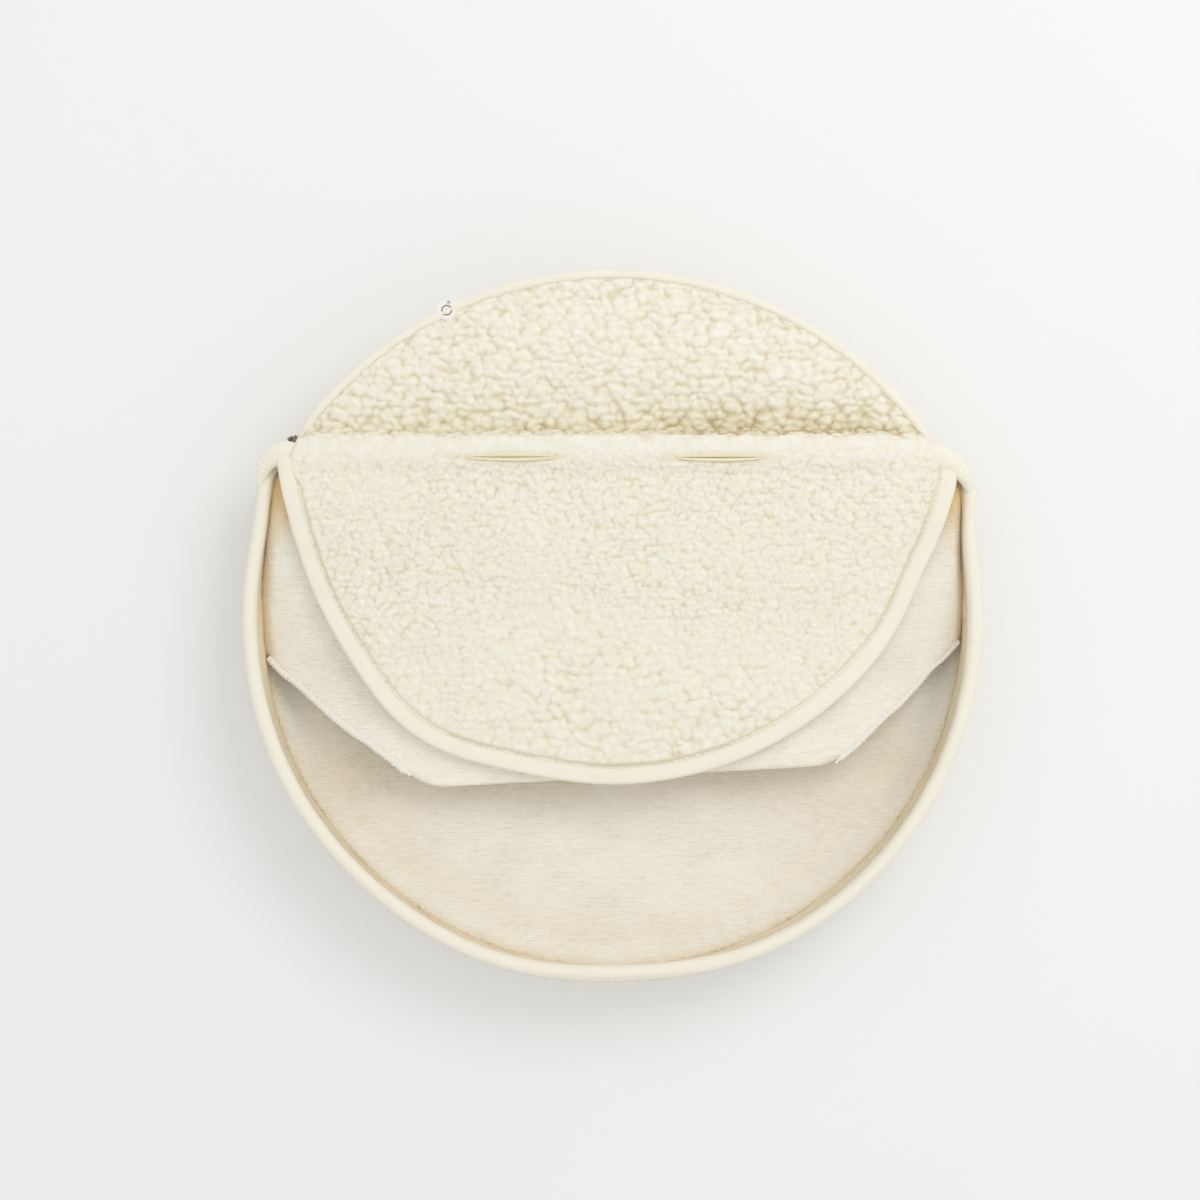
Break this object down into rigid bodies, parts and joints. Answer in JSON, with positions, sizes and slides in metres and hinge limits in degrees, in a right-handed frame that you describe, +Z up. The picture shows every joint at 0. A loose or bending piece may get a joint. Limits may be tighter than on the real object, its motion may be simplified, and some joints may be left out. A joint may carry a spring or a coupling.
{
  "type": "pet pocket bed",
  "caption": "Round low-walled pet bed with a cushioned floor, a zipped fleece cover with a raised crest, and a bound front flap that lifts over a knit lining panel.",
  "frame": {"origin": "on the floor under the middle of the bed's box", "axes": "+Z up, +Y to the back where the zip runs, -Y to the mouth, +X to the right seen from the mouth"},
  "size_m": [0.5, 0.4855, 0.092],
  "materials": {
    "cotton_cloth": "matte plain weave",
    "cotton_binding": "smooth matte bias binding",
    "wadding": "loose fibre",
    "knit_lining": "ribbed melange knit",
    "fleece": "curly sherpa pile",
    "thread": "twisted thread",
    "zip_tape": "woven tape",
    "zip_coil": "nylon coil",
    "zip_metal": "dark plated",
    "label": "woven satin"
  },
  "bodies": {
    "bed": {"base_panel": "cotton_cloth", "base_pad": "wadding", "floor_lining": "knit_lining", "side_wall": "cotton_cloth", "wall_padding": "wadding", "wall_lining": "knit_lining", "rim_binding": "cotton_binding", "rim_stitching": "thread", "back_piping": "cotton_binding", "back_cover": "fleece", "crest_wadding": "wadding", "slit_facing_left": "cotton_binding", "slit_facing_right": "cotton_binding", "corner_tuck_left": "cotton_binding", "corner_tuck_right": "cotton_binding", "zip_tape_lower": "zip_tape", "zip_tape_upper": "zip_tape", "zip_coil_lower": "zip_coil", "zip_coil_upper": "zip_coil", "zip_stops": "zip_metal", "woven_label": "label"},
    "flap": {"flap_cover": "fleece", "flap_binding": "cotton_binding", "flap_stitching": "thread"},
    "panel": {"lining_panel": "knit_lining", "panel_edge_left": "thread", "panel_edge_right": "thread"},
    "slider": {"zip_slider": "zip_metal"},
    "puller": {"zip_puller": "zip_metal"}
  },
  "joints": [
    {"name": "flap_fold", "type": "hinge", "parent": "bed", "child": "flap", "pos_m": [0, 0.104, 0.088], "axis": [-1, 0, 0], "range_deg": [0, 172]},
    {"name": "panel_fold", "type": "hinge", "parent": "bed", "child": "panel", "pos_m": [0, 0.104, 0.088], "axis": [-1, 0, 0], "range_deg": [0, 160]},
    {"name": "zip_run", "type": "hinge", "parent": "bed", "child": "slider", "pos_m": [0, -0.0192, 0.062], "axis": [0, 0, -1], "range_deg": [0, 112]},
    {"name": "puller_swing", "type": "hinge", "parent": "slider", "child": "puller", "pos_m": [-0.21792, 0.12829, 0.062], "axis": [0.5605, 0.8282, 0], "range_deg": [0, 150]}
  ],
  "couplings": [
    {"joint": "panel_fold", "follows": "flap_fold", "ratio": 0.93}
  ]
}
